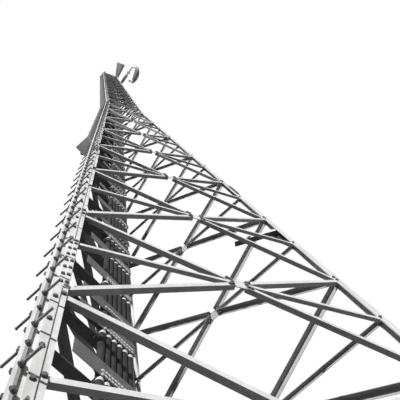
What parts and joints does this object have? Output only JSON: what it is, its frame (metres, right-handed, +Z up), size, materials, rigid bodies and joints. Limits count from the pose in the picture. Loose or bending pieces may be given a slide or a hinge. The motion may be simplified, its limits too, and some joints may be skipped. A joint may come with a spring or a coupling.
{
  "type": "self-supporting lattice tower",
  "caption": "Tall three-legged steel lattice tower with X-braced faces, a pegged climbing rail on one leg, inner cable runs and antennas near the top.",
  "frame": {"origin": "middle of leg A's base plate, on its underside", "axes": "+Z up, +X from leg A to leg B along the front face, +Y from the front face towards leg C"},
  "size_m": [4.2001, 3.974, 39.272],
  "materials": {
    "leg_steel": "weathered hot-dip galvanised",
    "bracing_steel": "weathered hot-dip galvanised",
    "plate_steel": "hot-dip galvanised",
    "rail_steel": "dull galvanised",
    "peg_steel": "dull galvanised, darkened",
    "duct_steel": "dull galvanised sheet",
    "cable_sheath": "matt black sheath",
    "antenna_paint": "matt grey paint"
  },
  "bodies": {
    "root": {"foot_a": "plate_steel", "foot_b": "plate_steel", "foot_c": "plate_steel", "leg_a_lower": "leg_steel", "leg_a_middle": "leg_steel", "leg_a_upper": "leg_steel", "leg_b_lower": "leg_steel", "leg_b_middle": "leg_steel", "leg_b_upper": "leg_steel", "leg_c_lower": "leg_steel", "leg_c_middle": "leg_steel", "leg_c_upper": "leg_steel", "leg_a_strap": "leg_steel", "splices_a": "plate_steel", "splices_b": "plate_steel", "splices_c": "plate_steel", "front_bracing_lower": "bracing_steel", "front_bracing_middle": "bracing_steel", "front_bracing_upper": "bracing_steel", "right_bracing_lower": "bracing_steel", "right_bracing_middle": "bracing_steel", "right_bracing_upper": "bracing_steel", "left_bracing_lower": "bracing_steel", "left_bracing_middle": "bracing_steel", "left_bracing_upper": "bracing_steel", "head_frame": "plate_steel", "rail_lower": "rail_steel", "rail_upper": "rail_steel", "pegs_left": "peg_steel", "pegs_right": "peg_steel", "rest_plate": "rail_steel", "cable_brackets": "plate_steel", "feeder_cables": "cable_sheath", "side_duct": "duct_steel", "leg_b_arm": "plate_steel", "horn": "antenna_paint", "horn_arm": "plate_steel", "dish": "antenna_paint", "dish_arm": "plate_steel"}
  },
  "joints": []
}
